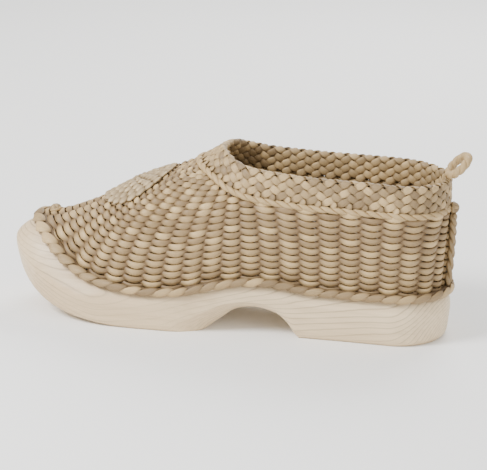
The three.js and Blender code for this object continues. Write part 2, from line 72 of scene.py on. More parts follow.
# Height on the side, as a share of its rows, where the chamfer of the lower edge ends in a crease.
CREASE = 0.34
CREASE_HALF = 0.012

# Rings that close the footbed and the underside, as shares of the way in to the middle line.
BED_RINGS = (0.12, 0.28, 0.46, 0.64, 0.82, 1.0)
UNDER_RINGS = (1.0, 0.66, 0.33)


def table(columns, *rows):
    """A table of numbers, read by the names of its columns."""
    return dict(zip(columns.split(), np.array(rows, float).T))


OUTLINE = table(
    "along centre half",
    (0, 0, 0.352),
    (0.15, 0.002, 0.356),
    (0.3, 0.01, 0.375),
    (0.42, 0.02, 0.413),
    (0.55, 0.025, 0.47),
    (0.65, 0.018, 0.5),
    (0.75, 0, 0.492),
    (0.85, -0.03, 0.45),
    (1, -0.085, 0.37),
)
RIM = table(
    "along height",
    (0, 1),
    (0.18, 1),
    (0.27, 1.01),
    (0.33, 1.04),
    (0.39, 1.1),
    (0.45, 1.13),
    (0.53, 1.065),
    (0.58, 0.965),
    (0.64, 0.85),
    (0.7, 0.81),
    (0.8, 0.87),
    (0.85, 0.965),
    (0.9, 1.185),
    (0.95, 1.535),
    (0.98, 1.78),
    (1, 1.91),
)
UNDERSIDE = table(
    "along arch spring bevel",
    (0, 0, 0, 0),
    (0.328, 0, 0, 0.6),
    (0.35, 0.45, 0, 1.2),
    (0.38, 0.84, 0, 2.2),
    (0.43, 1, 0, 4.5),
    (0.485, 0.84, 0, 8.5),
    (0.53, 0.38, 0, 9),
    (0.575, 0, 0, 4),
    (0.62, 0, 0, 0),
    (0.72, 0, 0, 0),
    (0.8, 0, 0.04, 0),
    (0.85, 0, 0.11, 0),
    (0.9, 0, 0.25, 0),
    (0.95, 0, 0.53, 0),
    (1, 0, 1, 0),
)
DISH = table(
    "along depth",
    (0, 1),
    (0.5, 1.2),
    (0.7, 0.9),
    (0.85, 1.6),
    (0.93, 3.4),
    (1, 5),
)
SOLE_SIDE = table(
    "along lip height",
    (0, 0.75, 0),
    (0.12, 0.3, 0.1),
    (0.38, 0.1, 0.36),
    (0.64, 0, 0.64),
    (0.82, 0.3, 0.84),
    (1, 1, 1),
)


def read(rows, column, along):
    """Smooth value of one column, with no overshoot between its rows."""
    x, y = rows["along"], rows[column]
    along = np.clip(along, x[0], x[-1])
    rise = np.diff(y) / np.diff(x)
    product = rise[:-1] * rise[1:]
    total = np.where(product > 0, rise[:-1] + rise[1:], 1)
    inner = np.where(product > 0, 2 * product / total, 0)
    slope = np.concatenate([rise[:1], inner, rise[-1:]])
    k = np.clip(np.searchsorted(x, along, side="right") - 1, 0, len(x) - 2)
    span = x[k + 1] - x[k]
    t = (along - x[k]) / span
    ease = t * t * (3 - 2 * t)
    bend = t * (1 - t) ** 2 * slope[k] + t * t * (t - 1) * slope[k + 1]
    return y[k] + (y[k + 1] - y[k]) * ease + span * bend


def rounded(distance, radius):
    """Width factor of a rounded end, at a distance in from its tip."""
    near = np.clip(distance / radius, 0, 1)
    return np.sqrt(1 - (1 - near) ** 2)


def outline(along, side, lip=0.0, inward=0.0):
    """The sole seen from above; side is -1 for the inner side of the foot, +1 for the outer."""
    heel_in = lip * HEEL_LIP + inward
    toe_in = lip * TOE_LIP + inward
    ends = rounded(along * SOLE_LENGTH, HEEL_ROUND) * rounded((1 - along) * SOLE_LENGTH, TOE_ROUND)
    half = (read(OUTLINE, "half", along) * BALL_WIDTH - lip * SIDE_LIP - inward) * ends
    x = HEEL_BACK - heel_in - along * (SOLE_LENGTH - heel_in - toe_in)
    y = AXIS_Y + read(OUTLINE, "centre", along) * BALL_WIDTH + side * half
    return np.stack([x, y, np.zeros_like(x)], -1)


def rim_height(along):
    return read(RIM, "height", along) * RIM_HEIGHT


def under_height(along):
    return read(UNDERSIDE, "arch", along) * ARCH_RISE + read(UNDERSIDE, "spring", along) * TOE_SPRING


trace = (1 - np.cos(np.linspace(0, np.pi, 401))) / 2
steps = [np.linalg.norm(np.diff(outline(trace, side, 1.0), axis=0), axis=1) for side in (-1, 1)]
trace_length = np.concatenate([[0], np.cumsum((steps[0] + steps[1]) / 2)])


def station(turn):
    """Share along the sole, and side, at a share of the way round from the heel."""
    turn = np.mod(turn, 1)
    half_turn = 2 * np.minimum(turn, 1 - turn)
    side = np.where(turn <= 0.5, -1.0, 1.0)
    return np.interp(half_turn * trace_length[-1], trace_length, trace), side


def with_height(flat, height):
    return np.concatenate([flat[..., :2], np.asarray(height)[..., None]], -1)


def lay(name, points, faces, node, material, uv=None, shade=None):
    """A finished piece of the shoe: its mesh from millimetres, its finish and its place."""
    mesh = bpy.data.meshes.new(name)
    mesh.from_pydata((np.asarray(points) / METRE).tolist(), [], faces)
    mesh.polygons.foreach_set("use_smooth", np.ones(len(mesh.polygons), bool))
    if uv is not None:
        layer = mesh.uv_layers.new(name="strand")
        corner = np.empty(len(mesh.loops), int)
        mesh.loops.foreach_get("vertex_index", corner)
        layer.data.foreach_set("uv", np.asarray(uv, float)[corner].ravel())
    # The per-point attribute holds each strand's random tone times its painted shade.
    if shade is not None:
        tone_and_shade = mesh.attributes.new("tone_and_shade", "FLOAT", "POINT")
        tone_and_shade.data.foreach_set("value", np.asarray(shade, float))
    build = bmesh.new()
    build.from_mesh(mesh)
    bmesh.ops.remove_doubles(build, verts=build.verts, dist=1e-7)
    bmesh.ops.recalc_face_normals(build, faces=build.faces)
    build.to_mesh(mesh)
    build.free()
    piece = bpy.data.objects.new(name, mesh)
    bpy.context.scene.collection.objects.link(piece)
    mesh.materials.append(material)
    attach(piece, "root")
    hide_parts(node)
    return piece


def grid_faces(rows, columns, wrap_rows=False, wrap_columns=True, start=0):
    """Quads of a grid of points, counted row by row."""
    a = np.arange(rows if wrap_rows else rows - 1)
    b = np.arange(columns if wrap_columns else columns - 1)
    a, b = (part.ravel() for part in np.meshgrid(a, b, indexing="ij"))
    a2, b2 = (a + 1) % rows, (b + 1) % columns
    corners = [a * columns + b, a * columns + b2, a2 * columns + b2, a2 * columns + b]
    return (np.stack(corners, -1) + start).tolist()


def node_tree(name):
    material = bpy.data.materials.new(name)
    material.use_nodes = True
    tree = material.node_tree
    return material, tree, tree.nodes["Principled BSDF"]


def add(tree, kind, values=None, **settings):
    """One node of a material; values are socket settings or links by socket name."""
    node = tree.nodes.new(kind)
    for key, value in settings.items():
        setattr(node, key, value)
    for key, value in (values or {}).items():
        socket = node.inputs[key]
        if isinstance(value, bpy.types.NodeSocket):
            tree.links.new(value, socket)
        else:
            socket.default_value = value
    return node


def ramp(tree, factor, *stops):
    """A colour ramp from (place, colour) stops."""
    node = add(tree, "ShaderNodeValToRGB", {"Fac": factor})
    while len(node.color_ramp.elements) < len(stops):
        node.color_ramp.elements.new(0.5)
    for element, (place, colour) in zip(node.color_ramp.elements, stops):
        element.position = place
        element.color = (*colour, 1) if len(colour) == 3 else colour
    return node.outputs["Color"]


def carved_wood():
    """Pale poplar cut from a flat board: its growth lines lie almost level and run from end to end."""
    material, tree, shader = node_tree("carved_wood")
    place = add(tree, "ShaderNodeTexCoord").outputs["Object"]
    board = add(tree, "ShaderNodeMapping", {
        "Vector": place, "Location": (0.0, 0.006, 0.008), "Rotation": (0.02, math.radians(3.2), 0.02)})
    slow = add(tree, "ShaderNodeMapping", {"Vector": place, "Scale": (7.0, 22.0, 22.0)})
    wander = add(tree, "ShaderNodeTexNoise", {"Vector": slow.outputs[0], "Scale": 1.0, "Detail": 2.0})
    bent = add(tree, "ShaderNodeMixRGB", {
        "Fac": 0.004, "Color1": board.outputs[0], "Color2": wander.outputs["Color"]})
    bent.blend_type = "LINEAR_LIGHT"
    rings = add(tree, "ShaderNodeTexWave", {
        "Vector": bent.outputs[0], "Scale": 150.0, "Distortion": 0.5, "Detail": 2.0,
        "Detail Scale": 1.0}, wave_type="RINGS", rings_direction="X", wave_profile="SAW")
    line = ramp(tree, rings.outputs["Fac"], (0.0, (0.86, 0.86, 0.86)), (0.12, (1, 1, 1)),
                (0.8, (0.94, 0.93, 0.92)), (0.95, (0.52, 0.48, 0.44)), (1.0, (0.5, 0.5, 0.5)))
    fade = ramp(tree, wander.outputs["Fac"], (0.38, (0.18, 0.18, 0.18)), (0.6, (0.75, 0.75, 0.75)))
    stretched = add(tree, "ShaderNodeMapping", {"Vector": place, "Scale": (14.0, 420.0, 420.0)})
    fibre = add(tree, "ShaderNodeTexNoise", {
        "Vector": stretched.outputs[0], "Scale": 1.0, "Detail": 4.0, "Roughness": 0.6})
    broad = add(tree, "ShaderNodeTexNoise", {"Vector": place, "Scale": 12.0, "Detail": 2.0})
    base = ramp(tree, broad.outputs["Fac"], (0.3, (0.63, 0.47, 0.28)), (0.7, (0.78, 0.62, 0.40)))
    lined = add(tree, "ShaderNodeMixRGB", {"Fac": fade, "Color1": base, "Color2": line})
    lined.blend_type = "MULTIPLY"
    pores = ramp(tree, fibre.outputs["Fac"], (0.3, (0.78, 0.75, 0.7)), (0.62, (1, 1, 1)))
    colour = add(tree, "ShaderNodeMixRGB", {"Fac": 0.55, "Color1": lined.outputs[0], "Color2": pores})
    colour.blend_type = "MULTIPLY"
    tree.links.new(colour.outputs[0], shader.inputs["Base Color"])
    rough = ramp(tree, fibre.outputs["Fac"], (0.3, (0.56, 0.56, 0.56)), (0.7, (0.38, 0.38, 0.38)))
    tree.links.new(rough, shader.inputs["Roughness"])
    bump = add(tree, "ShaderNodeBump", {
        "Strength": 0.2, "Distance": 0.0004, "Height": fibre.outputs["Fac"]})
    groove = add(tree, "ShaderNodeBump", {
        "Strength": 0.3, "Distance": 0.0004, "Height": line, "Normal": bump.outputs[0]})
    tree.links.new(groove.outputs[0], shader.inputs["Normal"])
    shader.inputs["Coat Weight"].default_value = 0.12
    shader.inputs["Coat Roughness"].default_value = 0.35
    return material


def carve_sole():
    around = 432
    along, side = station(np.arange(around) / around)
    rings = []
    low, high = under_height(along), rim_height(along)
    levels = np.sort(np.append(np.linspace(0, 1, 25), [CREASE - CREASE_HALF, CREASE + CREASE_HALF]))
    for level in levels:
        lip = read(SOLE_SIDE, "lip", level)
        height = read(SOLE_SIDE, "height", level)
        tuck = read(UNDERSIDE, "bevel", along) * max(0.0, 1 - level / CREASE)
        rings.append(with_height(outline(along, side, lip, tuck), low + (high - low) * height))
    bed = high - read(DISH, "depth", along) * DISH_DEPTH
    for ledges, sunk in LEDGE_STEPS:
        flat = outline(along, side, 1.0, WALL + ledges * LEDGE)
        rings.append(with_height(flat, high * (1 - sunk) + bed * sunk))
    mirror = (-np.arange(around)) % around

    def inwards(edge, share, height):
        middle = with_height((edge + edge[mirror]) / 2, height)
        return edge + (middle - edge) * share

    edge, lowest = rings[-1], rings[0]
    for share in BED_RINGS:
        sink = 1 - (1 - share) ** 2
        flat = inwards(edge, share, edge[:, 2])
        rings.append(with_height(flat, edge[:, 2] + (bed - edge[:, 2]) * sink))
    under = [inwards(lowest, share, lowest[:, 2]) for share in UNDER_RINGS]
    points = np.concatenate(under + rings)
    faces = grid_faces(len(under) + len(rings), around)
    return lay("carved_sole", points, faces, "sole", carved_wood())


carve_sole()

# Upper. Peeled willow skeins woven in front of one upright stake and behind the next, row by row
# from the edge of the wood up to the mouth. Each pass is widest where it crosses a stake and sags
# a little, so the stakes show as columns of scallops; rows that meet the collar end under it.

WALL_HEIGHT = 79.8
THROAT_HEIGHT = 99.5
MOUTH_LENGTH = 160
MOUTH_WIDTH = 70
MOUTH_HEEL_ROUND = 32
MOUTH_THROAT_ROUND = 38
HEEL_INSET = 4
GAP = 0.3
BELLY = 1.5
SWEEP = math.radians(75)
STAKES = 48
STAKE_RADIUS = 1.05
STAKE_THINNEST = 0.45
STAKE_TOP = 0.995
ROW_PITCH = 2.15
VAMP_ROW_PITCH = 2.45
WEAVE_MIDDLE = -1.2
WEAVE_DEPTH = 1.6
SKEIN_THICK = 0.7
SKEIN_NARROW = 1.4
SKEIN_WIDE = 2.15
SKEIN_SAG = 1.35
SKEIN_TILT = 0.22
FIRST_ROW = 0.3

# A column between two stakes is full from this width on; a narrower one has flatter passes, down
# to the least share. A stake in a column narrower than its own room is thinner.
FULL_COLUMN = 9
LEAST_SHARE = 0.35
STAKE_ROOM = 6

# The lowest rows rest on the wood and stand off it by this much where the wall lies flat.
REST_LIFT = 2.6
REST_HEIGHT = 12

STAKE_LINES = table(
    "along turn full swell",
    (0, 0, 2, 0.6),
    (0.058, 0.177, 2, 0.9),
    (0.1, 0.253, 2, 1),
    (0.19, 0.373, 2, 1),
    (0.28, 0.476, 2, 1),
    (0.37, 0.577, 2, 1),
    (0.46, 0.678, 2, 0.9),
    (0.55, 0.745, 1.9, 0.6),
    (0.66, 0.803, 1.92, 0.3),
    (0.79, 0.862, 1.8, 0),
    (0.89, 0.92, 1.42, 0),
    (1, 1, 0.9, 0),
)
MOUTH = table(
    "along half rise lean",
    (0, 0.49, 0, 0.03),
    (0.3, 0.5, 0.075, 0.05),
    (0.5, 0.5, 0.08, 0.07),
    (0.62, 0.49, 0.12, 0.1),
    (0.74, 0.475, 0.2, 0.17),
    (0.84, 0.465, 0.43, 0.38),
    (0.92, 0.46, 0.76, 0.69),
    (1, 0.455, 1, 1),
)


def mouth_point(turn, side):
    along = (1 - np.cos(np.pi * turn)) / 2
    ends = (rounded(along * MOUTH_LENGTH, MOUTH_HEEL_ROUND)
            * rounded((1 - along) * MOUTH_LENGTH, MOUTH_THROAT_ROUND))
    x = HEEL_BACK - HEEL_INSET - along * MOUTH_LENGTH
    y = AXIS_Y + side * read(MOUTH, "half", along) * MOUTH_WIDTH * ends
    z = WALL_HEIGHT + read(MOUTH, "rise", along) * (THROAT_HEIGHT - WALL_HEIGHT)
    return np.stack([x, y, z], -1)


def wall_point(turn, up):
    """The woven wall's outer face: round the shoe from the heel, and up a stake from 0 to 1."""
    turn, up = np.broadcast_arrays(np.asarray(turn, float), np.asarray(up, float))
    along, side = station(turn)
    foot = with_height(outline(along, side, 1.0), rim_height(along) + GAP)
    top = mouth_point(read(STAKE_LINES, "turn", along), side)
    power = 2 / read(STAKE_LINES, "full", along)
    inward = (1 - np.cos(SWEEP * up) ** power) / (1 - math.cos(SWEEP) ** power)
    rise = (np.sin(SWEEP * up) / math.sin(SWEEP)) ** power
    ends = rounded(along * SOLE_LENGTH, HEEL_ROUND)
    swell = read(STAKE_LINES, "swell", along) * BELLY * np.sin(np.pi * up)
    share = np.stack([inward, inward, rise], -1)
    spread = np.stack([swell * (1 - ends), side * swell * ends, np.zeros_like(swell)], -1)
    return foot + (top - foot) * share + spread


def unit(vectors):
    return vectors / np.linalg.norm(vectors, axis=-1, keepdims=True)


def wall_frame(turn, up):
    """Outward and climbing directions of the wall."""
    reach = 0.004
    high, low = np.minimum(up + reach, 1), np.maximum(up - reach, 0)
    climb = unit(wall_point(turn, high) - wall_point(turn, low))
    across = wall_point(turn + reach, up) - wall_point(turn - reach, up)
    return unit(np.cross(climb, across)), climb


class Strands:
    """Gathers swept strands of willow into one mesh, each with its own random tone, times any painted
    shade.
    """

    def __init__(self, seed):
        self.points, self.faces, self.uv, self.tone_and_shade = [], [], [], []
        self.count = 0
        self.chance = np.random.default_rng(seed)

    def sweep(self, path, out, thick, wide, sides=8, closed=False, shade=1.0):
        """A strand along a path: thick across the outward directions, wide beside them; shade is painted
        shade that darkens it.
        """
        path = np.asarray(path, float)
        if closed:
            onward = np.roll(path, -1, 0) - np.roll(path, 1, 0)
        else:
            onward = np.gradient(path, axis=0)
        onward = unit(onward)
        out = unit(out - (out * onward).sum(-1, keepdims=True) * onward)
        beside = np.cross(onward, out)
        thick = np.broadcast_to(thick, len(path)).astype(float)
        wide = np.broadcast_to(wide, len(path)).astype(float)
        if not closed:
            taper = np.ones(len(path))
            taper[[0, -1]] = 0.02
            taper[[1, -2]] = 0.75
            thick, wide = thick * taper, wide * taper
        angle = np.arange(sides) * 2 * np.pi / sides
        ring = (out[:, None] * (np.cos(angle)[:, None] * thick[:, None, None])
                + beside[:, None] * (np.sin(angle)[:, None] * wide[:, None, None]))
        points = path[:, None] + ring
        length = np.concatenate([[0], np.cumsum(np.linalg.norm(np.diff(path, axis=0), axis=1))])
        start = self.chance.uniform(0, 50)
        u = np.broadcast_to(((length + start) / 10)[:, None], (len(path), sides))
        v = np.broadcast_to(angle / (2 * np.pi), (len(path), sides))
        self.faces += grid_faces(len(path), sides, wrap_rows=closed, start=self.count)
        if not closed:
            last = self.count + (len(path) - 1) * sides
            self.faces.append(list(range(self.count, self.count + sides))[::-1])
            self.faces.append(list(range(last, last + sides)))
        self.points.append(points.reshape(-1, 3))
        self.uv.append(np.stack([u, v], -1).reshape(-1, 2))
        # Random tone of the strand, times the painted shade along it.
        level = self.chance.uniform(0.25, 1) * np.broadcast_to(shade, len(path))
        self.tone_and_shade.append(np.repeat(level, sides))
        self.count += len(path) * sides

    def finish(self, name, node, material):
        return lay(name, np.concatenate(self.points), self.faces, node, material,
                   np.concatenate(self.uv), np.concatenate(self.tone_and_shade))


def willow(name, dark, light, gloss):
    """Split willow: fibres along each strand, each strand a little lighter or darker at random; the same
    attribute also carries painted shade, which darkens a strand where it is set.
    """
    material, tree, shader = node_tree(name)
    strand = add(tree, "ShaderNodeUVMap", uv_map="strand").outputs[0]
    fibres = add(tree, "ShaderNodeMapping", {"Vector": strand, "Scale": (0.9, 9.0, 1.0)})
    streak = add(tree, "ShaderNodeTexNoise", {
        "Vector": fibres.outputs[0], "Scale": 2.2, "Detail": 4.0, "Roughness": 0.65})
    place = add(tree, "ShaderNodeTexCoord").outputs["Object"]
    blotch = add(tree, "ShaderNodeTexNoise", {"Vector": place, "Scale": 60.0, "Detail": 2.0})
    tone_and_shade = add(tree, "ShaderNodeAttribute", attribute_name="tone_and_shade").outputs["Fac"]
    body = ramp(tree, tone_and_shade, (0.0, dark), (0.55, tuple((d + l) / 2 for d, l in zip(dark, light))),
                (1.0, light))
    streaks = ramp(tree, streak.outputs["Fac"], (0.3, (0.62, 0.6, 0.56)), (0.55, (1, 1, 1)))
    mixed = add(tree, "ShaderNodeMixRGB", {"Fac": 0.55, "Color1": body, "Color2": streaks})
    mixed.blend_type = "MULTIPLY"
    stain = ramp(tree, blotch.outputs["Fac"], (0.35, (0.82, 0.79, 0.74)), (0.6, (1, 1, 1)))
    aged = add(tree, "ShaderNodeMixRGB", {"Fac": 0.5, "Color1": mixed.outputs[0], "Color2": stain})
    aged.blend_type = "MULTIPLY"
    tree.links.new(aged.outputs[0], shader.inputs["Base Color"])
    rough = ramp(tree, streak.outputs["Fac"], (0.3, (gloss + 0.18,) * 3), (0.7, (gloss,) * 3))
    tree.links.new(rough, shader.inputs["Roughness"])
    bump = add(tree, "ShaderNodeBump", {
        "Strength": 0.5, "Distance": 0.0003, "Height": streak.outputs["Fac"]})
    tree.links.new(bump.outputs[0], shader.inputs["Normal"])
    return material


weave_finish = willow("willow_weave", (0.16, 0.095, 0.04), (0.62, 0.44, 0.215), 0.44)


def weave_upper():
    per_stake = 8
    samples = STAKES * per_stake
    turn = np.arange(samples) / samples
    heights = np.linspace(0, 1, 90)
    surface = wall_point(turn[:, None], heights[None])
    climbed = np.linalg.norm(np.diff(surface, axis=1), axis=2).cumsum(1)
    climbed = np.concatenate([np.zeros((samples, 1)), climbed], 1)
    length = climbed[:, -1]
    nearness = 0.5 - 0.5 * np.cos(2 * np.pi * turn)
    pitch = ROW_PITCH + (VAMP_ROW_PITCH - ROW_PITCH) * nearness ** 3
    width_at = np.linalg.norm(np.roll(surface, -1, 0) - np.roll(surface, 1, 0), axis=2) * per_stake / 2
    rows = int((length / pitch).max()) + 1
    weave = Strands(11)
    for row in range(rows):
        height = pitch * (row + FIRST_ROW)
        inside = height < length + ROW_PITCH
        up = np.array([np.interp(h, c, heights) for h, c in zip(height, climbed)])
        column = np.array([np.interp(u, heights, w) for u, w in zip(up, width_at)])
        out, climb = wall_frame(turn, up)
        beat = np.cos(np.pi * (STAKES * turn + row))
        squeeze = np.clip(column / FULL_COLUMN, LEAST_SHARE, 1)
        resting = REST_LIFT * np.clip(out[:, 2], 0, 1) * np.clip(1 - height / REST_HEIGHT, 0, 1)
        depth = WEAVE_MIDDLE + resting + WEAVE_DEPTH * beat * (0.55 + 0.45 * squeeze)
        past = np.clip(height - length, 0, None)
        sag = -SKEIN_SAG * squeeze * beat
        path = wall_point(turn, up) + out * depth[:, None] + climb * (sag + past)[:, None]
        over = np.abs(beat)
        wide = SKEIN_NARROW + (SKEIN_WIDE - SKEIN_NARROW) * over * (0.4 + 0.6 * squeeze)
        wide = wide * pitch / ROW_PITCH
        tilt = unit(out - climb * (SKEIN_TILT * over * np.sign(beat))[:, None])
        thick = SKEIN_THICK * (0.85 + 0.15 * over)
        # Painted shade: a skein is darker where it passes behind a stake and lightest where it crosses in
        # front.
        shade = 0.12 + 0.88 * np.clip(beat * 1.25 - 0.1, 0, 1) ** 0.8
        if inside.all():
            weave.sweep(path, tilt, thick, wide, sides=7, closed=True, shade=shade)
            continue
        first = np.argmax(inside & ~np.roll(inside, 1))
        order = (first + np.arange(int(inside.sum()))) % samples
        if len(order) > 4:
            weave.sweep(path[order], tilt[order], thick[order], wide[order], sides=7,
                        shade=shade[order])
    weave.finish("willow_weave", "upper", weave_finish)
    set_stakes(heights, width_at[::per_stake])


def set_stakes(heights, columns):
    """Upright stakes in the middle of the weave, thinner where their column is narrow, and painted darker
    as shade among the skeins.
    """
    stakes = Strands(12)
    up = np.linspace(0.0, STAKE_TOP, 26)
    for stake, column in enumerate(columns):
        at = np.full_like(up, stake / STAKES)
        out = wall_frame(at, up)[0]
        room = np.interp(up, heights, column)
        radius = np.clip(STAKE_RADIUS * room / STAKE_ROOM, STAKE_THINNEST, STAKE_RADIUS)
        stakes.sweep(wall_point(at, up) + out * WEAVE_MIDDLE, out, radius, radius * 1.2, sides=6,
                     shade=0.3)
    stakes.finish("willow_stakes", "upper", weave_finish)


weave_upper()

# Border. Split willow stitched over the join of weave and wood, round a core painted near black as
# shade in the gap under the leaves. Each stitch shows as a pointed leaf that starts low on the wood
# and climbs on to the weave towards the heel, where it lies over the start of the next one.

BORDER_RADIUS = 2.8
BORDER_TOE_FROM = 0.8
BORDER_TOE_WIDTH = 1.6
BORDER_TOE_DEPTH = 0.75
CORE_RISE = 0.22
CORE_SINK = 0.35
CORE_THICK = 0.6
CORE_WIDE = 0.85
LEAVES = 66
LEAF_LENGTH = 15.5
LEAF_HALF = 2.35
LEAF_THICK = 1.05
LEAF_SEAT = 0.72

# Where a leaf's middle lies on the border, in degrees down from its outermost line, and how far its
# ends go up and down from there; at the toe it lies higher and on a steeper slant.
LEAF_MIDDLE = 38
LEAF_SLANT = 62
TOE_HIGHER = 14
TOE_STEEPER = 12
braid_finish = willow("willow_braid", (0.13, 0.08, 0.035), (0.57, 0.40, 0.195), 0.48)


def border_frame(turn):
    """Centre of the border on the wood's shoulder, its two directions and its two half sizes."""
    along, side = station(turn)
    edge = with_height(outline(along, side, 1.0), rim_height(along))
    lip, height = SOLE_SIDE["lip"][-2], SOLE_SIDE["height"][-2]
    low, high = under_height(along), rim_height(along)
    shoulder = with_height(outline(along, side, lip), low + (high - low) * height)
    reach = 0.003
    before, after = (outline(*station(turn + step), 1.0) for step in (-reach, reach))
    upright = np.array([0.0, 0.0, 1.0])
    level = np.cross(upright, unit(after - before))
    run = ((shoulder - edge) * level).sum(1)
    drop = edge[:, 2] - shoulder[:, 2]
    slope = np.hypot(run, drop)
    toe = np.clip((along - BORDER_TOE_FROM) / (1 - BORDER_TOE_FROM), 0, 1)
    toe = toe * toe * (3 - 2 * toe)
    broad = BORDER_RADIUS * (1 + (BORDER_TOE_WIDTH - 1) * toe)
    deep = BORDER_RADIUS * (1 + (BORDER_TOE_DEPTH - 1) * toe)
    out = np.hypot(broad * run, deep * drop) / slope + GAP
    rise = ((deep + GAP) * slope - out * drop) / run
    centre = with_height(edge + level * out[:, None], high + np.maximum(rise, -GAP))
    down = level * (run / slope)[:, None] - upright * (drop / slope)[:, None]
    away = level * (drop / slope)[:, None] + upright * (run / slope)[:, None]
    return centre, down, away, broad, deep


def lay_border():
    samples = 1200
    turns = np.arange(samples + 1) / samples
    stitches = np.linalg.norm(np.diff(border_frame(turns)[0], axis=0), axis=1)
    length = np.concatenate([[0], stitches.cumsum()])
    total = length[-1]
    border = Strands(21)
    centre, down, away, broad, deep = border_frame(np.arange(360) / 360)
    # The core is painted near black (shade 0.05): painted shade where it shows between the leaves and the
    # weave.
    core = centre - down * (CORE_RISE * broad)[:, None] - away * (CORE_SINK * deep)[:, None]
    border.sweep(core, away, deep * CORE_THICK, broad * CORE_WIDE, sides=8, closed=True, shade=0.05)
    part = np.linspace(-1, 1, 17)
    for hand in (-1, 1):
        for leaf in range(LEAVES // 2):
            jitter = border.chance.uniform(-0.06, 0.06)
            middle = (leaf + 0.5 + jitter) * total / LEAVES
            at = middle - part * LEAF_LENGTH / 2 * border.chance.uniform(0.94, 1.06)
            turn = np.interp(at, length, turns)
            turn = turn if hand < 0 else -turn
            centre, down, away, broad, deep = border_frame(turn)
            toe = (broad / BORDER_RADIUS - 1) / (BORDER_TOE_WIDTH - 1)
            angle = np.radians(LEAF_MIDDLE - TOE_HIGHER * toe - (LEAF_SLANT + TOE_STEEPER * toe) * part)
            lower, outer = down * np.sin(angle)[:, None], away * np.cos(angle)[:, None]
            face = lower * broad[:, None] + outer * deep[:, None]
            out = unit(lower / broad[:, None] + outer / deep[:, None])
            wide = LEAF_HALF * broad / BORDER_RADIUS * np.clip(1 - np.abs(part) ** 2.6, 0.02, 1) ** 0.7
            thick = LEAF_THICK * np.clip(1 - np.abs(part) ** 4, 0.1, 1)
            lift = 0.32 + 0.45 * part
            # Painted shade: each leaf is darker towards both ends, where the leaves overlap.
            shade = 0.3 + 0.7 * np.clip(1 - np.abs(part) ** 3, 0, 1)
            path = centre + face * LEAF_SEAT + out * lift[:, None]
            border.sweep(path, out, thick, wide, sides=8, shade=shade)
    border.finish("border_leaves", "sole_border", braid_finish)


lay_border()

# Collar. Flat willow strips plaited on the slant into a band, over and under one another, taken up
# the outside, folded over the top edge and down the inside.

THROAT_LEAN = 58
BAND_HEIGHT = 16
BAND_THICK = 4
BAND_PROUD = 0.6
CORD_RADIUS = 2.2
BAND_FOOT = 2 * CORD_RADIUS + 2 * GAP
STRIP_STEP = 9.6
STRIP_SLOPE = 0.6
STRIP_HALF = 2.35
STRIP_THICK = 0.55
STRIP_SPARE = 1.2


def collar_frame(turn):
    """A point of the mouth with its outward and upward directions, which lie back at the throat."""
    def at(r):
        along, side = station(r)
        return mouth_point(read(STAKE_LINES, "turn", along), side)

    reach = 0.003
    point = at(turn)
    onward = at(turn + reach) - at(turn - reach)
    onward = unit(with_height(onward, np.zeros(onward.shape[:-1])))
    level = np.cross(np.array([0.0, 0.0, 1.0]), onward)
    along = (HEEL_BACK - HEEL_INSET - point[..., 0]) / MOUTH_LENGTH
    lean = np.radians(read(MOUTH, "lean", along) * THROAT_LEAN)[..., None]
    upright = np.array([0.0, 0.0, 1.0])
    up = upright * np.cos(lean) - level * np.sin(lean)
    out = level * np.cos(lean) + upright * np.sin(lean)
    return point, out, up


mouth_turns = np.linspace(0, 1, 1201)
mouth_line = collar_frame(mouth_turns)[0]
mouth_steps = np.linalg.norm(np.diff(mouth_line, axis=0), axis=1)
mouth_length = np.concatenate([[0], mouth_steps.cumsum()])


def mouth_turn(distance):
    return np.interp(np.mod(distance, mouth_length[-1]), mouth_length, mouth_turns)


def band_section(height):
    """Out and up of the folded band at a distance up its outside, over the top and down inside."""
    radius = (BAND_THICK - 2 * STRIP_THICK) / 2
    top = BAND_HEIGHT - radius - STRIP_THICK
    over = math.pi * radius
    bend = np.clip((height - top) / radius, 0, math.pi)
    down = np.clip(height - top - over, 0, None)
    out = BAND_PROUD - BAND_THICK / 2 + radius * np.cos(bend)
    up = BAND_FOOT + np.minimum(height, top) + radius * np.sin(bend) - down
    return out, up, np.cos(bend), np.sin(bend)


def plait_collar():
    total = mouth_length[-1]
    strips = int(round(total / STRIP_STEP))
    step = total / strips
    reach = 2 * BAND_HEIGHT + STRIP_SPARE
    samples = int(reach / STRIP_SLOPE / step * 14)
    height = np.linspace(-0.2, reach, samples)
    out, up, face_out, face_up = band_section(height)
    collar = Strands(31)
    for hand in (1, -1):
        for strip in range(strips):
            distance = strip * step + hand * height / STRIP_SLOPE
            point, outward, upward = collar_frame(mouth_turn(distance))
            normal = outward * face_out[:, None] + upward * face_up[:, None]
            beat = hand * np.cos(2 * np.pi * distance / step)
            path = point + outward * out[:, None] + upward * up[:, None]
            path = path + normal * (beat * STRIP_THICK * 1.15)[:, None]
            wide = STRIP_HALF * (0.9 + 0.1 * beat)
            # Painted shade: a strip is darker where it passes under the crossing strips.
            shade = 0.25 + 0.75 * np.clip(0.5 + beat, 0, 1)
            collar.sweep(path, normal, STRIP_THICK, wide, sides=8, shade=shade)
    collar.finish("plaited_collar", "collar", braid_finish)


plait_collar()

# Collar cord. Two thin strands of split willow are twisted into a cord that runs right round the
# mouth. It binds the foot of the collar to the weave and covers the ends of the rows there.

CORD_CORE = 1.1
CORD_STRAND = (1.15, 1.7)
CORD_TURNS = 29


def twist(strands, path, out, up, core, strand_size, turns):
    """Two strands twisted round a closed path, each lying flat against the other."""
    share = np.arange(len(path)) / len(path)
    for half in (0, 0.5):
        angle = 2 * np.pi * (turns * share + half)
        away = out * np.cos(angle)[:, None] + up * np.sin(angle)[:, None]
        strands.sweep(path + away * core, away, *strand_size, closed=True)


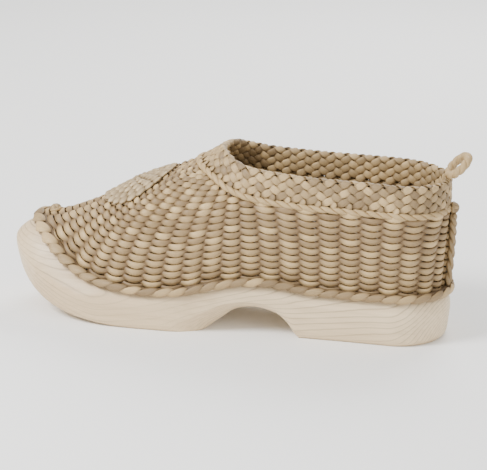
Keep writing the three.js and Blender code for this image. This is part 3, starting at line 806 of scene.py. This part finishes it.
def twist_cord():
    samples = 900
    distance = np.arange(samples) / samples * mouth_length[-1]
    point, out, up = collar_frame(mouth_turn(distance))
    path = point + up * (CORD_RADIUS + GAP) - out * GAP
    cord = Strands(41)
    twist(cord, path, out, up, CORD_CORE, CORD_STRAND, CORD_TURNS)
    cord.finish("collar_twist", "collar_cord", braid_finish)


twist_cord()

# Heel seam, knot and pull loop. The weave is closed down the back by a three-strand braid; its
# ends are tied in a knot under the collar, and a ring of twisted willow stands above it.

WEAVE_RELIEF = 0.8
BRAID_FROM = 0.04
BRAID_TO = 0.94
BRAID_PROUD = 1.5
BRAID_TURNS = 2.4
BRAID_HALF = 2.9
BRAID_DEPTH = 0.95
BRAID_STRAND = (1.35, 2.0)
LOOP_LENGTH_RADIUS = 8
LOOP_WIDTH_RADIUS = 6.6
LOOP_CORD_RADIUS = 2.8
LOOP_TILT = math.radians(45)
LOOP_TURN = math.radians(18)
LOOP_CORE = 1.25
LOOP_STRAND = (1.5, 2.0)
LOOP_TWISTS = 5
KNOT_RADIUS = 4
KNOT_DEPTH = 2.6
KNOT_SINK = 1.3


def braid_heel():
    samples = 120
    up = np.linspace(BRAID_FROM, BRAID_TO, samples)
    at = np.zeros(samples)
    out = wall_frame(at, up)[0]
    middle = wall_point(at, up) + out * (WEAVE_RELIEF + BRAID_PROUD)
    beside = np.array([0.0, 1.0, 0.0])
    seam = Strands(51)
    share = np.linspace(0, 1, samples)
    for strand in range(3):
        angle = 2 * np.pi * (BRAID_TURNS * share + strand / 3)
        swing = beside * (BRAID_HALF * np.sin(angle))[:, None]
        path = middle + swing + out * (BRAID_DEPTH * np.sin(2 * angle))[:, None]
        seam.sweep(path, out, *BRAID_STRAND, sides=10)
    seam.finish("heel_braid", "heel_seam", braid_finish)


def tie_knot(name, node, centre, out, up, depth, radius, seed):
    """A round knot: strands drawn over it one across another, and one wound round its foot."""
    knot = Strands(seed)
    beside = np.cross(out, up)
    over = np.radians(np.linspace(-25, 205, 21))
    strand_size = radius * 0.22, radius * 0.3
    for turn in (0.2, 1.25, 2.3, 0.75, 1.8):
        first = up * math.cos(turn) + beside * math.sin(turn)
        path = (centre + first * (np.cos(over) * radius * 0.72)[:, None]
                + out * ((np.sin(over) - 0.35) * depth * (0.72 + 0.06 * turn))[:, None])
        facing = unit(first * np.cos(over)[:, None] + out * np.sin(over)[:, None])
        knot.sweep(path, facing, *strand_size)
    angle = np.linspace(0, 2 * np.pi, 40, endpoint=False)
    away = up * np.cos(angle)[:, None] + beside * np.sin(angle)[:, None]
    knot.sweep(centre + away * radius * 0.78 - out * depth * 0.55, away, *strand_size, closed=True)
    knot.finish(name, node, braid_finish)


def ring_loop():
    rising = np.array([math.sin(LOOP_TILT), 0.0, math.cos(LOOP_TILT)])
    flat_through = np.cross(rising, np.array([0.0, 1.0, 0.0]))
    sideways = np.array([0.0, math.cos(LOOP_TURN), 0.0]) + flat_through * math.sin(LOOP_TURN)
    through = np.cross(rising, sideways)
    point, out, up = collar_frame(np.array([0.0]))
    seat = point[0] + out[0] * (BAND_PROUD - BAND_THICK / 2) + up[0] * (BAND_FOOT + BAND_HEIGHT)
    centre = seat + rising * LOOP_LENGTH_RADIUS + np.array([0.0, 0.0, LOOP_CORD_RADIUS])
    samples = 260
    angle = np.arange(samples) / samples * 2 * np.pi
    away = rising * np.cos(angle)[:, None] + sideways * np.sin(angle)[:, None]
    path = (centre + rising * (LOOP_LENGTH_RADIUS * np.cos(angle))[:, None]
            + sideways * (LOOP_WIDTH_RADIUS * np.sin(angle))[:, None])
    loop = Strands(61)
    twist(loop, path, away, through, LOOP_CORE, LOOP_STRAND, LOOP_TWISTS)
    loop.finish("pull_loop", "heel_loop", braid_finish)


braid_heel()
heel_point, heel_out, heel_up = (part[0] for part in collar_frame(np.array([0.0])))
heel_knot_place = (heel_point + heel_up * (CORD_RADIUS + GAP)
                   + heel_out * (CORD_RADIUS + GAP + KNOT_DEPTH - KNOT_SINK))
tie_knot("tied_heel_knot", "heel_knot", heel_knot_place, heel_out, heel_up, KNOT_DEPTH, KNOT_RADIUS, 71)
ring_loop()

# Toe knot. The ends of the split willow are drawn together where the weave closes at the toe. They
# are curled into a small knot that lies on the weave above the border.

TOE_KNOT_UP = 0.17
TOE_KNOT_RADIUS = 4
TOE_KNOT_DEPTH = 2.4


def toe_knot():
    out, climb = (part[0] for part in wall_frame(np.array([0.5]), np.array([TOE_KNOT_UP])))
    centre = wall_point(0.5, TOE_KNOT_UP) + out * (TOE_KNOT_DEPTH + WEAVE_RELIEF)
    tie_knot("tied_toe_knot", "toe_knot", centre, out, climb, TOE_KNOT_DEPTH, TOE_KNOT_RADIUS, 81)


toe_knot()

# Rosette. Rings of rounded willow petals, each a skein folded to a small shell, overlap towards a
# knot of curls in the middle; it is sewn flat on the slope of the vamp.

ROSETTE_FROM_TOE = 79
ROSETTE_ASIDE = 2.5
ROSETTE_BASE = 0.9
ROSETTE_RISE = 2.87
PETAL_RINGS = table(
    "radius petals long broad",
    (22.2, 24, 6.4, 6.6),
    (18.6, 21, 6.2, 6.2),
    (14.8, 17, 6.0, 6.0),
    (11.0, 13, 5.8, 5.8),
    (7.4, 9, 5.2, 5.2),
    (3.9, 6, 4.2, 4.2),
    (1.5, 4, 3.4, 3.4),
)
PETAL_SHOULDER = 0.45
PETAL_FOOT = 0.72
PETAL_CROWN = 1.5
PETAL_CURL = 1.1
PETAL_THICK = 0.8
rosette_finish = willow("willow_rosette", (0.2, 0.13, 0.06), (0.68, 0.53, 0.31), 0.4)


def wall_above(x, y):
    """The place on the wall straight above points of the plan, by Newton's steps."""
    reach = 0.002
    turn = np.full(np.shape(x), 0.5)
    up = np.full(np.shape(x), 0.5)
    for _ in range(12):
        here = wall_point(turn, up)
        across = (wall_point(turn + reach, up) - wall_point(turn - reach, up)) / (2 * reach)
        climb = (wall_point(turn, up + reach) - wall_point(turn, up - reach)) / (2 * reach)
        area = across[..., 0] * climb[..., 1] - across[..., 1] * climb[..., 0]
        dx, dy = x - here[..., 0], y - here[..., 1]
        turn = turn + (dx * climb[..., 1] - dy * climb[..., 0]) / area
        up = np.clip(up + (across[..., 0] * dy - across[..., 1] * dx) / area, reach, 1 - reach)
    return turn, up


def shell_faces(rows, columns, start):
    """Both skins of a thin shell, and the rim that joins them."""
    top = np.array(grid_faces(rows, columns, wrap_columns=False, start=start))
    under = rows * columns
    rim = (list(range(columns)) + [i * columns + columns - 1 for i in range(1, rows)]
           + [(rows - 1) * columns + j for j in range(columns - 2, -1, -1)]
           + [i * columns for i in range(rows - 2, 0, -1)])
    edge = [[start + i, start + under + i, start + under + j, start + j]
            for i, j in zip(rim, rim[1:] + rim[:1])]
    return top.tolist() + (top + under)[:, ::-1].tolist() + edge


def sew_rosette():
    middle_x = HEEL_BACK - SOLE_LENGTH + ROSETTE_FROM_TOE
    midline = read(OUTLINE, "centre", 1 - ROSETTE_FROM_TOE / SOLE_LENGTH) * BALL_WIDTH
    middle_y = AXIS_Y + midline - ROSETTE_ASIDE
    turn, up = wall_above(np.array([middle_x]), np.array([middle_y]))
    shorten = wall_frame(turn, up)[0][0, 2]

    def over(radius, angle, lift):
        x = middle_x + np.cos(angle) * radius * shorten
        y = middle_y + np.sin(angle) * radius
        spot = wall_above(x, y)
        return wall_point(*spot) + wall_frame(*spot)[0] * lift[..., None]

    points, faces, uv, tone_and_shade = [], [], [], []
    chance = np.random.default_rng(91)
    a, c = np.meshgrid(np.linspace(0, 1, 7), np.linspace(-1, 1, 9), indexing="ij")
    end = np.clip((a - PETAL_SHOULDER) / (1 - PETAL_SHOULDER), 0, 1)
    round_end = np.sqrt(np.clip(1 - end ** 2.4, 0.02, 1))
    narrow_foot = PETAL_FOOT + (1 - PETAL_FOOT) * np.clip(a / PETAL_SHOULDER, 0, 1)
    crown = PETAL_CROWN * (1 - c * c) * np.sin(np.pi * np.clip(a * 0.8 + 0.2, 0, 1)) ** 0.7
    highest = len(PETAL_RINGS["radius"]) - 1
    start = 0
    for ring, (radius, petals, long, broad) in enumerate(zip(*PETAL_RINGS.values())):
        base = ROSETTE_BASE + ROSETTE_RISE * ring / highest
        for petal in range(int(petals)):
            centre = 2 * np.pi * (petal + 0.5 * (ring % 2) + chance.uniform(-0.06, 0.06)) / petals
            size = chance.uniform(0.94, 1.06)
            half = broad * size / 2 * round_end * narrow_foot
            reach = radius - long * size * (0.55 - a)
            angle = centre + half * c / np.maximum(reach, 2.2)
            tip = PETAL_CURL * a * a + chance.uniform(-0.15, 0.25)
            top = over(reach, angle, base + crown + tip)
            bottom = over(reach, angle, base + crown * 0.4 + tip - PETAL_THICK)
            points += [top.reshape(-1, 3), bottom.reshape(-1, 3)]
            faces += shell_faces(*a.shape, start)
            place = np.stack([a.ravel() * long / 10, c.ravel() * 0.5 + petal], -1)
            uv += [place, place]
            # A random tone per petal, times painted shade: darker at the petal's foot, under the ring
            # above, and at its sides.
            shade = chance.uniform(0.6, 1) * (0.15 + 0.85 * a.ravel()) * (1 - 0.5 * np.abs(c.ravel()) ** 3)
            tone_and_shade += [shade, shade]
            start += 2 * a.size
    lay("rosette_petals", np.concatenate(points), faces, "rosette",
        rosette_finish, np.concatenate(uv), np.concatenate(tone_and_shade))


sew_rosette()

# Setting: a pale floor, soft daylight from the upper left, and the camera a little above the shoe,
# turned towards its heel.


def soft_light(name, place, size, energy, target):
    data = bpy.data.lights.new(name, "AREA")
    data.shape = "DISK"
    data.size = size
    data.energy = energy
    lamp = bpy.data.objects.new(name, data)
    lamp.location = place
    lamp.rotation_euler = (Vector(target) - Vector(place)).to_track_quat("-Z", "Y").to_euler()
    bpy.context.scene.collection.objects.link(lamp)


def set_stage():
    floor_mesh = bpy.data.meshes.new("pale_floor")
    reach = 6.0
    floor_mesh.from_pydata([(-reach, -reach, 0), (reach, -reach, 0), (reach, reach, 0), (-reach, reach, 0)],
                           [], [(0, 1, 2, 3)])
    floor = bpy.data.objects.new("pale_floor", floor_mesh)
    bpy.context.scene.collection.objects.link(floor)
    material, tree, shader = node_tree("pale_floor")
    shader.inputs["Base Color"].default_value = (0.95, 0.95, 0.94, 1)
    shader.inputs["Roughness"].default_value = 0.9
    floor_mesh.materials.append(material)
    world = bpy.data.worlds.new("daylight")
    world.use_nodes = True
    world.node_tree.nodes["Background"].inputs[0].default_value = (1.0, 0.99, 0.97, 1)
    world.node_tree.nodes["Background"].inputs[1].default_value = 0.95
    bpy.context.scene.world = world
    middle = (0.0, 0.0, 0.05)
    soft_light("window_light", (-0.75, -0.7, 0.95), 0.5, 26, middle)
    soft_light("fill_light", (0.9, -0.9, 0.5), 0.9, 4, middle)
    soft_light("back_light", (0.2, 1.0, 0.9), 0.8, 14, middle)


def place_camera():
    azimuth, elevation, roll = math.radians(11), math.radians(17), math.radians(2.0)
    distance = 1.35
    target = Vector((0.002, 0.0, 0.052))
    away = Vector((math.sin(azimuth) * math.cos(elevation), -math.cos(azimuth) * math.cos(elevation),
                   math.sin(elevation)))
    data = bpy.data.cameras.new("camera")
    data.lens = 158
    camera = bpy.data.objects.new("camera", data)
    camera.location = target + away * distance
    turn = (-away).to_track_quat("-Z", "Y").to_matrix()
    camera.rotation_euler = (turn @ Matrix.Rotation(roll, 3, "Z")).to_euler()
    bpy.context.scene.collection.objects.link(camera)
    bpy.context.scene.camera = camera


set_stage()
place_camera()
